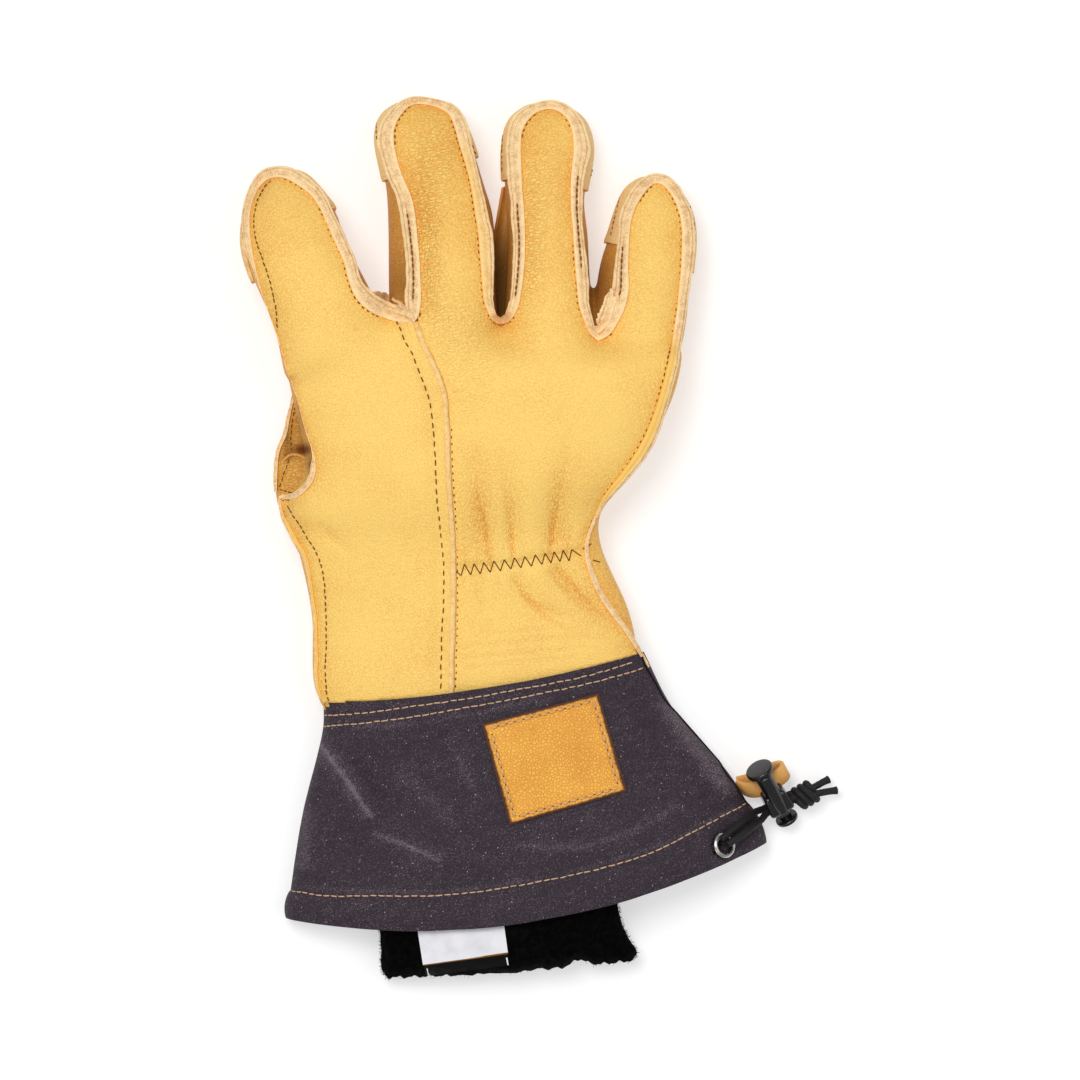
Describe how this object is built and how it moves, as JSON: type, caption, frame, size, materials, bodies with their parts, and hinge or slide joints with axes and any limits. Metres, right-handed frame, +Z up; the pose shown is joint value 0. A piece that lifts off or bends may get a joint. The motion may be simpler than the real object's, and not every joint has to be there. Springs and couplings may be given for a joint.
{
  "type": "leather work glove",
  "caption": "Right-hand insulated leather work glove with suede seam edges, a flared canvas gauntlet cuff with drawcord and cord lock, and a fleece liner; lies palm down.",
  "frame": {"origin": "on the surface the glove lies on, under the middle of its box without the drawcord", "axes": "+Z up from the palm to the back of the hand, +Y from the cuff to the fingertips, +X to the little finger's side"},
  "size_m": [0.2163, 0.3172, 0.0459],
  "materials": {
    "golden_leather": "smooth pebbled grain, slightly waxy",
    "suede_edge": "raw cut edge, matt",
    "dark_leather": "matt suede",
    "waxed_canvas": "waxed cloth with worn creases",
    "patch_leather": "smooth, burnt edges",
    "loop_leather": "smooth",
    "fleece": "brushed knit",
    "label_cloth": "satin ribbon",
    "nickel": "polished nickel",
    "black_plastic": "moulded, glossy",
    "cord": "braided"
  },
  "bodies": {
    "glove": {"index_panel": "golden_leather", "back_panel": "golden_leather", "palm_panel": "golden_leather", "fourchette_index_middle": "dark_leather", "fourchette_middle_ring": "dark_leather", "fourchette_ring_little": "dark_leather", "thumb": "golden_leather", "welt_index": "suede_edge", "welt_middle": "suede_edge", "welt_ring": "suede_edge", "welt_little": "suede_edge", "welt_thumb_side": "suede_edge", "welt_hand_side": "suede_edge", "back_seam_edge": "suede_edge", "tip_wrap_index": "golden_leather", "tip_wrap_middle": "golden_leather", "tip_wrap_ring": "golden_leather", "tip_wrap_little": "golden_leather", "cuff_front": "waxed_canvas", "cuff_rear": "waxed_canvas", "cuff_hem": "waxed_canvas", "cuff_patch": "patch_leather", "liner": "fleece", "care_label": "label_cloth", "eyelet": "nickel", "lock_barrel": "black_plastic", "pull_loop": "loop_leather", "drawcord_strand_front": "cord", "drawcord_strand_rear": "cord", "drawcord_tail_front": "cord", "drawcord_tail_rear": "cord", "drawcord_knot": "cord"},
    "lock_plunger": {"lock_plunger": "black_plastic"}
  },
  "joints": [
    {"name": "lock_press", "type": "slide", "parent": "glove", "child": "lock_plunger", "axis": [-0.4207, 0.7288, 0.5402], "range_m": [0, 0.003], "stiffness_N_per_m": 600}
  ]
}
